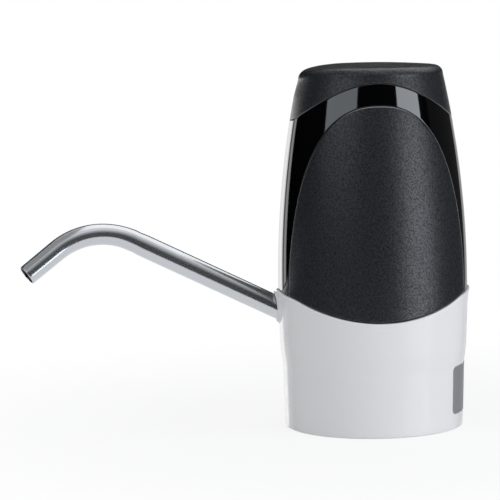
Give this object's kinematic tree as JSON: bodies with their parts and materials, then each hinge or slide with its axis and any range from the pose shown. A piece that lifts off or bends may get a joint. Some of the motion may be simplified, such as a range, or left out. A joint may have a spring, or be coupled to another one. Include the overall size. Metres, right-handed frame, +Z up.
{
  "type": "bottled water pump",
  "caption": "Battery pump for large water bottles: a tapered body that caps the bottle's neck, a push button on top and a bent steel spout.",
  "frame": {"origin": "centre of the bottle-mouth seat, on the body's axis", "axes": "+Z up along the body's axis, -X towards the spout, +X towards the charging socket"},
  "size_m": [0.1602, 0.0676, 0.1299],
  "materials": {
    "white_gloss": "glossy injection-moulded white ABS",
    "black_gloss": "polished black ABS",
    "charcoal": "fine spark-eroded grain, charcoal",
    "silicone": "translucent food-grade silicone",
    "rubber": "black nitrile",
    "zinc": "zinc-plated steel",
    "stainless": "ground stainless steel",
    "polished_steel": "polished stainless steel",
    "acetal": "natural acetal",
    "grey_plastic": "moulded grey nylon",
    "black_plastic": "moulded black plastic",
    "ferrite": "sintered ferrite",
    "windings": "laminations and enamelled copper wire",
    "cell_wrap": "printed shrink wrap, bare of print",
    "board": "solder mask on glass-fibre board",
    "clear_lens": "clear acrylic",
    "red_lead": "insulated lead, red",
    "black_lead": "insulated lead, black"
  },
  "bodies": {
    "pump": {"base_shell": "white_gloss", "bottle_cup": "white_gloss", "mouth_gasket": "silicone", "inlet_seal": "rubber", "base_screw_1": "zinc", "base_screw_2": "zinc", "base_screw_3": "zinc", "base_screw_4": "zinc", "pump_cover": "grey_plastic", "pump_housing": "grey_plastic", "idler_pin": "stainless", "shaft_seal": "rubber", "pump_screw_1": "zinc", "pump_screw_2": "zinc", "motor_can": "zinc", "motor_magnet_front": "ferrite", "motor_magnet_rear": "ferrite", "motor_end_cap": "black_plastic", "chassis": "grey_plastic", "battery_cell": "cell_wrap", "battery_tab_lower": "zinc", "battery_tab_upper": "zinc", "circuit_board": "board", "board_screw_1": "zinc", "board_screw_2": "zinc", "charging_socket": "zinc", "tact_switch": "grey_plastic", "charge_led": "clear_lens", "motor_lead_black": "black_lead", "motor_lead_red": "red_lead", "battery_lead_red": "red_lead", "battery_lead_black": "black_lead", "upper_housing": "black_gloss", "side_panel_left": "charcoal", "side_panel_right": "charcoal", "top_cap": "charcoal", "indicator_lens": "clear_lens", "spout_socket": "silicone", "spout_ring": "rubber", "outlet_hose": "silicone"},
    "button": {"push_button": "charcoal", "switch_plunger": "black_plastic"},
    "rotor": {"motor_shaft": "stainless", "motor_armature": "windings", "drive_gear": "acetal"},
    "idler": {"idler_gear": "acetal"},
    "spout": {"spout_tube": "polished_steel"}
  },
  "joints": [
    {"name": "button_press", "type": "slide", "parent": "pump", "child": "button", "axis": [0, 0, -1], "range_m": [0, 0.0008], "stiffness_N_per_m": 2500},
    {"name": "spout_swivel", "type": "hinge", "parent": "pump", "child": "spout", "pos_m": [-0.03389, 0, 0.01889], "axis": [-0.898, 0, 0.4399], "continuous": true},
    {"name": "rotor_spin", "type": "hinge", "parent": "pump", "child": "rotor", "pos_m": [-0.006, -0.0042, 0.0105], "axis": [0, 0, 1], "continuous": true},
    {"name": "idler_spin", "type": "hinge", "parent": "pump", "child": "idler", "pos_m": [-0.006, 0.0042, 0.0105], "axis": [0, 0, 1], "continuous": true}
  ],
  "couplings": [
    {"joint": "idler_spin", "follows": "rotor_spin", "ratio": -1}
  ]
}
